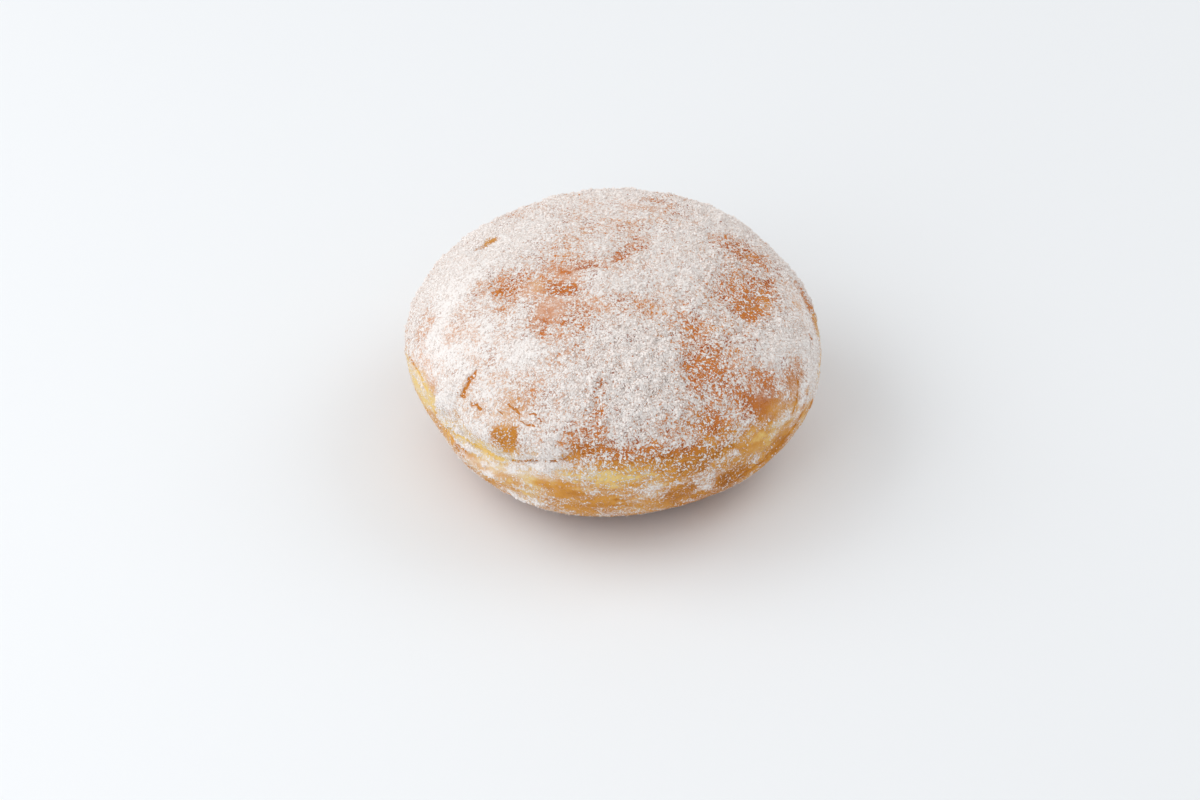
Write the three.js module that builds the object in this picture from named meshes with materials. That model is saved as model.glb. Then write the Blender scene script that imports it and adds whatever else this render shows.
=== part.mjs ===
// A fried bean bun: one plump round piece of dough with a soft uneven crust, resting on a small flat foot.
// Millimetres, +Z up, the origin at the middle of the foot, -Y towards the side with the folds.
import * as THREE from "three";
import { ImprovedNoise } from "three/addons/math/ImprovedNoise.js";
import { mergeVertices } from "three/addons/utils/BufferGeometryUtils.js";

// Driving dimensions
const WIDTH = 88;
const DEPTH = 85;
const HEIGHT = 46;
const WAIST_HEIGHT = 23.5; // where the halves meet that were fried one after the other
const FOOT_RADIUS = 24; // the flat spot that the bun rests on
const FOOT_EASE = 4; // swellings and folds fade out over this height above the foot, so the foot stays flat

// How far each half of the side profile stays full before it turns, as a share of its reach
const CROWN_FULLNESS = 0.55;
const SHOULDER_FULLNESS = 0.55;
const BELLY_FULLNESS = 0.63;
const HEEL_FULLNESS = 0.28;

// The ball that is shaped into the bun: 20 * (SPLITS + 1)^2 triangles
const SPLITS = 20;

// Slow unevenness of dough shaped by hand: the spacing of the waves, and how far they stand out
const UNEVENNESS = [
  { spacing: 26, out: 0.55 },
  { spacing: 11, out: 0.22 },
];

// Swellings and hollows of the dough. Azimuth turns from +X to +Y, and tilt runs down the profile from
// the crown at 0 over the waist at 87 to the middle of the foot at 180. The reach is in millimetres.
const SWELLINGS = {
  flankHollow: { azimuth: 208, tilt: 90, across: 8, along: 8, out: -1.6 },
  leftBelly: { azimuth: 186, tilt: 84, across: 12, along: 14, out: 0.8 },
  lipCushion: { azimuth: 236, tilt: 76, across: 15, along: 6, out: 0.9 },
  lipEnd: { azimuth: 216, tilt: 78, across: 4.5, along: 6, out: 0.9 },
  frontBelly: { azimuth: 256, tilt: 107, across: 18, along: 9, out: 1.4 },
  leftHeel: { azimuth: 225, tilt: 106, across: 7, along: 7, out: 0.6 },
  rightHeel: { azimuth: 308, tilt: 106, across: 10, along: 8, out: 0.9 },
  rightBelly: { azimuth: 335, tilt: 90, across: 16, along: 16, out: 1.6 },
  rightShoulder: { azimuth: 4, tilt: 74, across: 10, along: 10, out: 0.6 },
  backRight: { azimuth: 62, tilt: 60, across: 18, along: 14, out: 0.8 },
  crownHump: { azimuth: 272, tilt: 9, across: 11, along: 8, out: 0.4 },
  crownHollow: { azimuth: 214, tilt: 20, across: 8, along: 5, out: -0.6 },
  leftHollow: { azimuth: 192, tilt: 40, across: 6, along: 6, out: -0.45 },
  leftShoulder: { azimuth: 200, tilt: 60, across: 12, along: 9, out: 0.6 },
  frontSwell: { azimuth: 280, tilt: 50, across: 10, along: 16, out: 0.6 },
  rightValley: { azimuth: 302, tilt: 52, across: 5, along: 14, out: -0.5 },
  rightDent: { azimuth: 343, tilt: 47, across: 8, along: 6, out: -0.6 },
  rightFlat: { azimuth: 318, tilt: 75, across: 7, along: 6, out: -0.5 },
};

// Folds of the crust: a line of places as [azimuth, tilt], the groove pressed along it, and the roll of
// dough that stands out beside the groove, on its crown side where the roll is positive.
const FOLDS = {
  lip: {
    line: [[211, 78], [219, 86], [234, 87], [250, 83], [266, 76]],
    groove: 1.8,
    grooveWidth: 1.8,
    roll: 0.9,
    rollWidth: 4,
  },
  leftSkirt: {
    line: [[212, 92], [222, 99], [232, 103], [246, 106]],
    groove: 0.9,
    grooveWidth: 1.8,
    roll: 0.5,
    rollWidth: 3,
  },
  rightSkirt: {
    line: [[296, 96], [308, 97], [319, 95], [331, 90]],
    groove: 0.9,
    grooveWidth: 1.8,
    roll: -0.7,
    rollWidth: 3,
  },
};
const FOLD_SAMPLES = 60;
const ROLL_STEEPNESS = 2;

// Vertices within this many degrees of tilt are gathered towards a fold, so that its groove is crisp.
const GATHER_REACH = THREE.MathUtils.degToRad(7);
const GATHER_POWER = 0.6;

const profile = sideProfile();
const folds = Object.values(FOLDS).map((fold) => ({ ...fold, samples: foldSamples(fold.line) }));
const swellings = Object.values(SWELLINGS).map((swelling) => ({ ...swelling, ...swellingFrame(swelling) }));
const noise = new ImprovedNoise();

// Half of the outline seen from the side: from the crown out to the waist and in to the middle of the foot.
function sideProfile() {
  const radius = WIDTH / 2;
  const shoulder = WAIST_HEIGHT + (HEIGHT - WAIST_HEIGHT) * SHOULDER_FULLNESS;
  const belly = WAIST_HEIGHT * (1 - BELLY_FULLNESS);
  const heel = FOOT_RADIUS + (radius - FOOT_RADIUS) * HEEL_FULLNESS;
  const path = new THREE.Path();
  path.moveTo(0, HEIGHT);
  path.bezierCurveTo(radius * CROWN_FULLNESS, HEIGHT, radius, shoulder, radius, WAIST_HEIGHT);
  path.bezierCurveTo(radius, belly, heel, 0, FOOT_RADIUS, 0);
  path.lineTo(0, 0);
  return path;
}

// The place on the smooth bun at an azimuth and a tilt, in radians.
function smoothPlace(azimuth, tilt) {
  const across = profile.getPoint(tilt / Math.PI);
  return new THREE.Vector3(
    across.x * Math.cos(azimuth),
    (across.x * Math.sin(azimuth) * DEPTH) / WIDTH,
    across.y,
  );
}

function smoothPlaceDegrees(azimuth, tilt) {
  return smoothPlace(THREE.MathUtils.degToRad(azimuth), THREE.MathUtils.degToRad(tilt));
}

// The way out of the smooth bun at a place: square to an egg shape of the same size.
function outwards(place) {
  const half = place.z > WAIST_HEIGHT ? HEIGHT - WAIST_HEIGHT : WAIST_HEIGHT;
  return new THREE.Vector3(
    place.x / (WIDTH / 2) ** 2,
    place.y / (DEPTH / 2) ** 2,
    (place.z - WAIST_HEIGHT) / half ** 2,
  ).normalize();
}

// A swelling's middle, and the level and downhill directions that its reach is measured along.
function swellingFrame({ azimuth, tilt }) {
  const middle = smoothPlaceDegrees(azimuth, tilt);
  const turn = THREE.MathUtils.degToRad(azimuth);
  const level = new THREE.Vector3(-Math.sin(turn), Math.cos(turn), 0);
  const downhill = new THREE.Vector3().crossVectors(level, outwards(middle)).normalize();
  return { middle, level, downhill };
}

function swellingHeight(place) {
  let height = 0;
  for (const { middle, level, downhill, across, along, out } of swellings) {
    const offset = place.clone().sub(middle);
    const sideways = offset.dot(level);
    const down = offset.dot(downhill);
    const throughSquared = offset.lengthSq() - sideways ** 2 - down ** 2;
    const spread = (sideways / across) ** 2 + (down / along) ** 2 + throughSquared / (across * along);
    height += out * Math.exp(-spread);
  }
  return height;
}

// Places along a fold, each with its tilt and with a strength that fades out at both ends of the line.
function foldSamples(line) {
  const curve = new THREE.SplineCurve(line.map(([azimuth, tilt]) => new THREE.Vector2(azimuth, tilt)));
  return Array.from({ length: FOLD_SAMPLES }, (_, index) => {
    const share = index / (FOLD_SAMPLES - 1);
    const { x: azimuth, y: degrees } = curve.getPointAt(share);
    const tilt = THREE.MathUtils.degToRad(degrees);
    const strength = Math.sqrt(Math.sin(Math.PI * share));
    return { place: smoothPlaceDegrees(azimuth, degrees), tilt, strength };
  });
}

function nearestSample(samples, place) {
  return samples.reduce((best, sample) =>
    sample.place.distanceToSquared(place) < best.place.distanceToSquared(place) ? sample : best,
  );
}

// The tilt of a vertex after it slides along its meridian towards a fold that runs nearby.
function gatheredTilt(azimuth, tilt) {
  const place = smoothPlace(azimuth, tilt);
  return folds.reduce((moved, { samples }) => {
    const near = nearestSample(samples, place);
    const offset = tilt - near.tilt;
    const share = Math.abs(offset) / GATHER_REACH;
    const pull = share < 1 ? near.strength * (1 - share ** GATHER_POWER) : 0;
    return moved - offset * pull;
  }, tilt);
}

function foldHeight(place, tilt) {
  let height = 0;
  for (const { samples, groove, grooveWidth, roll, rollWidth } of folds) {
    const near = nearestSample(samples, place);
    const distance = near.place.distanceTo(place);
    const onRollSide = Math.sign(near.tilt - tilt) === Math.sign(roll);
    height -= near.strength * groove * Math.exp(-distance / grooveWidth);
    if (onRollSide) {
      const beside = (distance - rollWidth) / rollWidth;
      height += near.strength * Math.abs(roll) * Math.exp(-(beside ** 2) * ROLL_STEEPNESS);
    }
  }
  return height;
}

function unevenness(place) {
  return UNEVENNESS.reduce((height, { spacing, out }) => {
    const wave = noise.noise(place.x / spacing, place.y / spacing, place.z / spacing);
    return height + out * wave;
  }, 0);
}

// The whole bun: a ball's vertices are spread over the smooth form, then pushed in and out.
function bunGeometry() {
  const ball = new THREE.IcosahedronGeometry(1, SPLITS);
  ball.deleteAttribute("normal");
  ball.deleteAttribute("uv");
  const bun = mergeVertices(ball);
  const places = bun.getAttribute("position");
  const direction = new THREE.Vector3();
  for (let index = 0; index < places.count; index++) {
    direction.fromBufferAttribute(places, index).normalize();
    const azimuth = Math.atan2(direction.y, direction.x);
    const tilt = gatheredTilt(azimuth, Math.acos(direction.z));
    const place = smoothPlace(azimuth, tilt);
    const height = swellingHeight(place) + foldHeight(place, tilt) + unevenness(place);
    const ease = THREE.MathUtils.smoothstep(place.z, 0, FOOT_EASE);
    place.addScaledVector(outwards(place), ease * height);
    places.setXYZ(index, place.x, place.y, place.z);
  }
  sizeExactly(bun);
  return bun;
}

// Brings a geometry to the driving dimensions, with its foot at z = 0 and centred on the origin.
function sizeExactly(geometry) {
  geometry.computeBoundingBox();
  const size = geometry.boundingBox.getSize(new THREE.Vector3());
  geometry.scale(WIDTH / size.x, DEPTH / size.y, HEIGHT / size.z);
  geometry.computeBoundingBox();
  const middle = geometry.boundingBox.getCenter(new THREE.Vector3());
  geometry.translate(-middle.x, -middle.y, -geometry.boundingBox.min.z);
}

const sugaredCrust = new THREE.MeshStandardMaterial({ color: 0xd6beac, roughness: 0.85, metalness: 0 });

const bun = new THREE.Mesh(bunGeometry(), sugaredCrust);
bun.name = "bun";

const part = new THREE.Group();
part.add(bun);

export default part;
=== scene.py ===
# %% [markdown]
# # A fried bean bun under a dusting of sugar
#
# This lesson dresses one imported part, a fried bun, so that it looks as it does when it is served. The solid
# that comes from the CAD step already has the true size, the swellings and the folds of the dough. What it
# lacks is what the fryer and the sugar sieve add: a browned crust with a pale band round the waist, thin
# cracks, and a layer of fine sugar that is thick in places and worn through in others. The solid is never
# changed: a finer copy of it is dressed, and the copy then stands for it.

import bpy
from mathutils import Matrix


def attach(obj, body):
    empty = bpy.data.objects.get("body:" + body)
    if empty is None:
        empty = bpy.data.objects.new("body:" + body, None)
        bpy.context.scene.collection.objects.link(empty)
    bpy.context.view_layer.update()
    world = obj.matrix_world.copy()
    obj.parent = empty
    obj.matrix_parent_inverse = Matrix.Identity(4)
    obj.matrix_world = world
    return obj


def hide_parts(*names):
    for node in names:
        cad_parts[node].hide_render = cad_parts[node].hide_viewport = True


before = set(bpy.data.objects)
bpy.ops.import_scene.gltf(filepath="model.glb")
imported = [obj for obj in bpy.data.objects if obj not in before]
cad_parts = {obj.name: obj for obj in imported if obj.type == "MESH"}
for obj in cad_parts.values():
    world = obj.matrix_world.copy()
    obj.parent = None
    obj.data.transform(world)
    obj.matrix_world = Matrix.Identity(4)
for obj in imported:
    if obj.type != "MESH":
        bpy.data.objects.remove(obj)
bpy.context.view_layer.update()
MM = 0.001

# %% [markdown]
# ## The camera
#
# Matching a picture starts with its camera, because every later comparison is made through it. The bun is
# seen from about 41 degrees above the horizon through a long lens, which keeps the perspective mild. The
# distance is worked out from the scale of the picture: so many pixels for each millimetre at the point that
# the camera looks at. The camera has no shift, because aiming it a little beside the bun frames the picture
# just as well.

# %% Place the camera
import math

import bpy
from mathutils import Vector

PICTURE_WIDTH = 1200
PICTURE_HEIGHT = 800
LENS = 110.0
SENSOR = 36.0
LOOK_DOWN = math.radians(41.3)
PIXELS_PER_MM = 4.67
AIM = Vector((-2.7, 0.0, 7.0)) * MM


def put_in_scene(name, data):
    """A new object at the origin that shows this mesh, lamp or camera."""
    thing = bpy.data.objects.new(name, data)
    bpy.context.scene.collection.objects.link(thing)
    return thing


focal_pixels = LENS / SENSOR * PICTURE_WIDTH
camera_distance = focal_pixels / PIXELS_PER_MM * MM
to_camera = Vector((0.0, -math.cos(LOOK_DOWN), math.sin(LOOK_DOWN)))
picture_right = Vector((1.0, 0.0, 0.0))
picture_up = Vector((0.0, math.sin(LOOK_DOWN), math.cos(LOOK_DOWN)))

camera_data = bpy.data.cameras.new("camera")
camera_data.lens = LENS
camera_data.sensor_width = SENSOR
camera = put_in_scene("camera", camera_data)
camera.location = AIM + to_camera * camera_distance
camera.rotation_euler = (math.pi / 2 - LOOK_DOWN, 0.0, 0.0)
bpy.context.scene.camera = camera
print("camera distance, mm:", round(camera_distance / MM))

# %% [markdown]
# ## From the picture to the bun
#
# Spots, cracks and folds are easiest to place where the eye sees them. So a place may be given as a pixel
# of the picture: a ray from the camera through that pixel meets the bun at one point, and from then on the
# place belongs to the bun and holds from every side. Blender's BVH tree finds that point quickly. The
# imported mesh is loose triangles, so the copy that will become the crust is welded first.

# %% Cast a pixel onto the bun
import bmesh
from mathutils.bvhtree import BVHTree

WELD = 1e-6
MIDDLE_PIXEL = Vector((613, 360))
CROWN_PIXEL = (613, 262)

crust_shape = bmesh.new()
crust_shape.from_mesh(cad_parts["bun"].data)
bmesh.ops.remove_doubles(crust_shape, verts=crust_shape.verts, dist=WELD)
bun_tree = BVHTree.FromBMesh(crust_shape)


def cast(x, y):
    """The point of the bun under a pixel, and the way out there.

    A pixel off the outline moves in towards the middle of the bun until its ray meets the crust.
    """
    point = None
    pixel = Vector((x, y))
    while point is None:
        sideways = picture_right * (pixel.x - PICTURE_WIDTH / 2)
        upwards = picture_up * (PICTURE_HEIGHT / 2 - pixel.y)
        ray = sideways + upwards - to_camera * focal_pixels
        point, out, _, _ = bun_tree.ray_cast(camera.location, ray.normalized())
        pixel += (MIDDLE_PIXEL - pixel).normalized()
    return point, out


crown, _ = cast(*CROWN_PIXEL)
print("welded bun:", len(crust_shape.verts), "vertices; crown at", [round(c / MM, 1) for c in crown])

# %% [markdown]
# ## A finer crust
#
# The solid's triangles are about two millimetres wide, too coarse for a crack. Splitting every edge twice
# gives sixteen triangles for each one, and smoothing after each split rounds the facets away, much as a
# Subdivision Surface would. The operators are used here instead of the modifier because the next steps move
# the new vertices.

# %% Split and smooth the crust
ROUNDS = 2
SMOOTHING = 0.5

for _ in range(ROUNDS):
    bmesh.ops.subdivide_edges(crust_shape, edges=crust_shape.edges, cuts=1, use_grid_fill=True)
    bmesh.ops.smooth_vert(
        crust_shape,
        verts=crust_shape.verts,
        factor=SMOOTHING,
        use_axis_x=True,
        use_axis_y=True,
        use_axis_z=True,
    )
print("split crust:", len(crust_shape.faces), "faces")

# %% [markdown]
# ## Lines on the crust
#
# A crack, a fold or a ridge is a line. A few pixels give its course, a moving average rounds the corners,
# and each sample is cast onto the bun. For a vertex near the line three numbers matter: its distance, the
# side of the line that it lies on, and a strength that fades out towards both ends. A curve object could
# hold the line as well, but these numbers would still have to be measured from it. The first line is the
# lip, the edge of a fold on the left of the front, where dough was pulled over dough.

# %% Lines and distances
import numpy as np

LINE_SAMPLES = 90
LINE_ROUNDING = 10
FAR = 8.0
LIP = ((437, 386), (438, 402), (446, 427), (470, 444), (496, 458), (530, 462), (562, 459), (582, 450))


class CrustLine:
    """A smooth line on the bun through the pixels given, measured in millimetres."""

    def __init__(self, *pixels):
        stops = np.array(pixels, float)
        steps = np.hypot(*np.diff(stops, axis=0).T)
        run = np.concatenate([[0.0], np.cumsum(steps)])
        share = np.linspace(0.0, run[-1], LINE_SAMPLES)
        course = np.column_stack([np.interp(share, run, stops[:, axis]) for axis in (0, 1)])
        for _ in range(LINE_ROUNDING):
            course[1:-1] = (course[:-2] + 2 * course[1:-1] + course[2:]) / 4
        hits = [cast(x, y) for x, y in course]
        self.points = np.array([point for point, _ in hits]) / MM
        along = np.gradient(self.points, axis=0)
        self.sideways = np.cross(np.array([out for _, out in hits]), along)
        self.sideways /= np.linalg.norm(self.sideways, axis=1, keepdims=True)

    def measure(self, places):
        """The distance, the side and the strength of the line at each place; far places get FAR, 0 and 0."""
        low = self.points.min(axis=0) - FAR
        high = self.points.max(axis=0) + FAR
        close = np.flatnonzero(((places > low) & (places < high)).all(axis=1))
        gaps = places[close, None, :] - self.points[None, :, :]
        nearest = (gaps**2).sum(axis=2).argmin(axis=1)
        gap = gaps[np.arange(len(close)), nearest]
        distance = np.full(len(places), FAR)
        side = np.zeros(len(places))
        strength = np.zeros(len(places))
        distance[close] = np.minimum(np.linalg.norm(gap, axis=1), FAR)
        side[close] = np.sign((gap * self.sideways[nearest]).sum(axis=1))
        strength[close] = np.sqrt(np.sin(np.pi * (nearest + 0.5) / LINE_SAMPLES))
        return distance, side, strength


lip_line = CrustLine(*LIP)
lip_steps = np.linalg.norm(np.diff(lip_line.points, axis=0), axis=1)
print("lip length, mm:", round(float(lip_steps.sum())))

# %% [markdown]
# ## The cracks
#
# Round the lip the sugar cake has cracked, and along the flank and the skirt thin lines of bare crust show.
# They could be painted on an image, but as lines they stay sharp at any size and can be pressed into the
# mesh too. Each row gives half the width of the line and its depth in millimetres, then its course in
# pixels.

# %% Trace the cracks
CRACKS = {
    "long stroke": (0.5, 0.3, (476, 371), (472, 378), (466, 386), (463, 396)),
    "stroke foot": (0.28, 0.2, (457, 393), (461, 396), (466, 397)),
    "lip top": (0.26, 0.2, (439, 394), (444, 390), (452, 385)),
    "step spot": (0.38, 0.2, (468, 403), (474, 404), (482, 409)),
    "first step": (0.18, 0.15, (483, 409), (492, 411), (502, 413), (506, 420), (513, 428)),
    "second step": (0.34, 0.2, (508, 404), (515, 410), (521, 419)),
    "third step": (0.26, 0.2, (517, 420), (527, 424), (538, 427)),
    "fourth step": (0.28, 0.15, (528, 413), (535, 415), (541, 421)),
    "tail": (0.2, 0.15, (532, 432), (540, 440), (549, 445)),
    "lip strip": (0.4, 0.5, (444, 427), (454, 431), (466, 440), (480, 447), (490, 453), (510, 461)),
    "lip strip head": (0.45, 0.2, (446, 428), (452, 430), (459, 434)),
    "lip strip end": (0.45, 0.2, (484, 452), (493, 456), (505, 459)),
    "lip strip low": (0.6, 0.3, (445, 430), (451, 438), (458, 446), (466, 454)),
    "lip crack": (0.28, 0.4, (500, 460), (515, 461.5), (530, 461.5), (550, 460.5), (566, 458), (576, 452)),
    "flank line": (0.42, 0.2, (409, 356), (413, 366), (418, 373), (425, 387), (430, 400), (436, 416)),
    "rim streak": (0.28, 0.15, (797, 370), (799, 385), (797, 404), (790, 424)),
    "rim streak out": (0.3, 0.2, (807, 378), (808, 395), (802, 414), (793, 432)),
    "rim fold": (0.36, 0.3, (807, 407), (799, 420), (791, 433), (780, 445), (764, 458)),
    "rim edge": (0.5, 0.1, (818, 390), (814, 401), (806, 414)),
    "far rim fleck": (0.5, 0.1, (809, 334), (812, 340), (814, 346)),
    "wrinkle": (0.22, 0.2, (598, 503), (612, 501), (628, 502)),
    "wrinkle low": (0.22, 0.2, (603, 508), (618, 506), (634, 507)),
    "skirt fold": (0.36, 0.4, (722, 488), (742, 476), (764, 462), (786, 441)),
}
crack_lines = {name: CrustLine(*row[2:]) for name, row in CRACKS.items()}
print("crack lines:", len(crack_lines))

# %% [markdown]
# ## More vertices where the lines run
#
# Cracks are about half a millimetre wide, so the crust near them is split once more. Only the edges whose
# two ends are close to a line are split, which keeps the mesh under its limit of 200,000 triangles.

# %% Refine near the lines
REFINE_REACH = 1.8

rough_places = np.array([vertex.co for vertex in crust_shape.verts]) / MM
line_gap = np.min([line.measure(rough_places)[0] for line in [lip_line, *crack_lines.values()]], axis=0)
crust_shape.verts.index_update()
close_edges = [
    edge for edge in crust_shape.edges if all(line_gap[vertex.index] < REFINE_REACH for vertex in edge.verts)
]
bmesh.ops.subdivide_edges(crust_shape, edges=close_edges, cuts=1, use_grid_fill=True)
bmesh.ops.triangulate(crust_shape, faces=crust_shape.faces)
for face in crust_shape.faces:
    face.smooth = True

crust_mesh = bpy.data.meshes.new("crust")
crust_shape.to_mesh(crust_mesh)
crust_shape.free()
crust = put_in_scene("crust", crust_mesh)
print("refined crust:", len(crust_mesh.polygons), "triangles")

# %% [markdown]
# ## Arrays of the crust
#
# From here the vertices are handled all at once, as arrays of millimetres: their places, the way out at
# each one, and two copies of the places that noise has moved about. Measured from the wobbled copy, a round
# patch gets a ragged outline. Measured from the jagged copy, which is moved less, a thin line gets a rough
# edge and keeps its course. The noise is given a seed, because without one it starts from the clock and
# each run gives another bun.

# %% Read the vertices and wobble a copy
from mathutils import noise

NOISE_SEED = 6
WOBBLES = ((6.0, 1.3), (2.2, 0.8))
JAGS = ((1.6, 0.5), (0.7, 0.25))

noise.seed_set(NOISE_SEED)


def read(collection, name):
    """One vector for each item of a mesh, as rows of an array."""
    values = np.empty(len(collection) * 3)
    collection.foreach_get(name, values)
    return values.reshape(-1, 3)


def wobble(places, steps):
    """The places moved about by noise: for each step its spacing and its reach in millimetres."""
    moved = places.copy()
    for spacing, reach in steps:
        moved += reach * np.array([noise.noise_vector(Vector(place)) for place in places / spacing])
    return moved


places = read(crust_mesh.vertices, "co") / MM
outs = read(crust_mesh.vertex_normals, "vector")
wobbled = wobble(places, WOBBLES)
jagged = wobble(places, JAGS)
print("crust vertices:", len(places))

# %% [markdown]
# ## Patches and ridges on the crust
#
# A patch is an oval spot as the picture shows it: its middle and its half sizes in pixels, and its turn in
# degrees. The oval is laid on the crust along the surface, so a spot near the far edge is as long on the
# bun as it must be to look that way. The result is a mask, 1 in the middle and 0 well outside, that falls
# off a little faster than a bell curve, so a spot has an edge. A ridge is a line with a half width in
# millimetres, for sugar that has gathered along an edge. Patches are measured from the wobbled places and
# ridges from the jagged ones.

# %% Measure patches and ridges
LEAST_FACING = 0.3
PATCH_DEPTH = 8.0
PATCH_FALL = 1.4
TRIAL_PATCH = (*CROWN_PIXEL, 30, 15, 0)


def along_crust(x, y, out):
    """The step along the crust, in millimetres, that looks like this step in pixels."""
    flat = (picture_right * x - picture_up * y) / PIXELS_PER_MM
    facing = max(out.dot(to_camera), LEAST_FACING)
    return flat - to_camera * (out.dot(flat) / facing)


def patch(x, y, half_width, half_height, turn):
    """The mask of an oval spot."""
    middle, out = cast(x, y)
    cosine = math.cos(math.radians(turn))
    sine = math.sin(math.radians(turn))
    across = along_crust(half_width * cosine, half_width * sine, out)
    down = along_crust(-half_height * sine, half_height * cosine, out)
    oval = np.column_stack([across, down, out * PATCH_DEPTH])
    spread = np.linalg.solve(oval, (wobbled - np.array(middle) / MM).T)
    return np.exp(-((spread**2).sum(axis=0) ** PATCH_FALL))


def paint(layer, patches):
    """Adds each patch to the layer, by the amount that comes last in its row."""
    for row in patches.values():
        layer += row[-1] * patch(*row[:-1])


def draw(layer, ridges):
    """Adds each ridge to the layer: a row gives its half width, its amount and its course."""
    for half_width, amount, *pixels in ridges.values():
        distance, _, strength = CrustLine(*pixels).measure(jagged)
        layer += amount * (strength * np.exp(-((distance / half_width) ** 2)))


print("share of the crust in a patch on the crown:", round(float(patch(*TRIAL_PATCH).mean()), 4))

# %% [markdown]
# ## The pale band round the waist
#
# A bun floats in the fat: one half is fried, then it is turned over, and the band at the waist hardly
# browns. The band parts the dome above from the belly below. Its height is read off where the picture shows
# it and carried round the back. Noise makes it wider and narrower and its edges ragged, where a plain ring
# would look painted on. A row of waves gives their amount, their spacing in millimetres, and a shift that
# makes them unlike all others.

# %% Measure the band
BAND_HEIGHT = 23.4
BAND_RISE = 1.2
BAND_RISE_TURN = math.radians(330)
BAND_HALF = 3.6
BAND_WAVES = ((0.5, 14.0, 3.0),)
EDGE_WAVES = ((1.6, 5.0, 8.0),)
DOME_EDGE = (0.0, 7.0)
BELLY_EDGE = (0.0, 6.0)
NOISE_FALL = 1.0
NOISE_STEP = 2.0


def waves(where, spacing, shift, octaves=3):
    """Soft noise, about -1 to 1, with bumps that are so many millimetres apart."""
    offset = Vector((shift, shift, shift))
    spots = where / spacing
    return np.array([noise.fractal(Vector(spot) + offset, NOISE_FALL, NOISE_STEP, octaves) for spot in spots])


def uneven(rows, stretch=1.0):
    """The sum of some rows of waves over the crust."""
    return sum(amount * waves(places * stretch, spacing, shift) for amount, spacing, shift in rows)


def smooth_step(low, high, value):
    """0 up to the low value and 1 from the high one, with a smooth run between them."""
    share = np.clip((value - low) / (high - low), 0.0, 1.0)
    return share * share * (3.0 - 2.0 * share)


turns = np.arctan2(places[:, 1], places[:, 0])
band_middle = BAND_HEIGHT + BAND_RISE * np.cos(turns - BAND_RISE_TURN)
above_band = places[:, 2] - band_middle
band_edge = BAND_HALF * (1.0 + uneven(BAND_WAVES))
band = np.exp(-((above_band / band_edge) ** 2))
ragged = above_band + uneven(EDGE_WAVES)
dome = smooth_step(*DOME_EDGE, ragged)
belly = smooth_step(*BELLY_EDGE, -ragged)
print("band share of the crust:", round(float(band.mean()), 3))

# %% [markdown]
# ## How much sugar lies where
#
# Sugar is sieved over the top, so the dome carries most of it, the band less and the belly a thin film. The
# layer called cover is the share of the crust that sugar hides, from 0 to 1. Broad noise makes it uneven
# all round. On the band and the belly the noise is drawn out level, as the dough stretched that way. The
# far side, which the picture does not show, gets chance patches of the same kind as those in front. The
# underside is nearly bare, and the sugar taken off low on the belly also paints in shade near the floor.

# %% Lay the sugar
DOME_COVER = 0.77
BAND_COVER = 0.34
BELLY_COVER = 0.31
COVER_WAVES = ((0.10, 17.0, 11.0), (0.12, 6.0, 5.0))
COVER_STREAKS = ((0.24, 9.0, 15.0), (0.28, 3.5, 17.0))
DRAWN_OUT = np.array([1.0, 1.0, 2.4])
FAR_COVER_WAVES = ((0.3, 12.0, 51.0),)
FAR_EDGE = (0.0, 30.0)
UNDER_EDGE = (9.0, 2.0)
UNDER_BARE_AND_SHADE = 0.35


def by_zone(in_band, on_dome, on_belly):
    """A layer with one value in the band, one on the dome and one on the belly."""
    return in_band + (on_dome - in_band) * dome + (on_belly - in_band) * belly


def mean(layer):
    return round(float(layer.mean()), 2)


far_side = smooth_step(*FAR_EDGE, places[:, 1])
under = smooth_step(*UNDER_EDGE, places[:, 2])
cover = by_zone(BAND_COVER, DOME_COVER, BELLY_COVER)
cover += uneven(COVER_WAVES)
for streak in COVER_STREAKS:
    cover += uneven([streak], DRAWN_OUT) * (1.0 - dome)
cover += uneven(FAR_COVER_WAVES) * far_side
# Less sugar low down: a bare underside, and painted shade on the low belly near the floor.
cover -= UNDER_BARE_AND_SHADE * under
print("mean sugar cover:", mean(cover))

# %% [markdown]
# ## Where the sugar is thick
#
# On the side that shows, patches follow the picture: the thick cake on the left shoulder, the mound on the
# crown, the heap at the end of the lip. Each row is a patch and, last, what it adds to the cover. An image
# painted by hand could say the same, but a row has a name and can be moved on its own.

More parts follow.
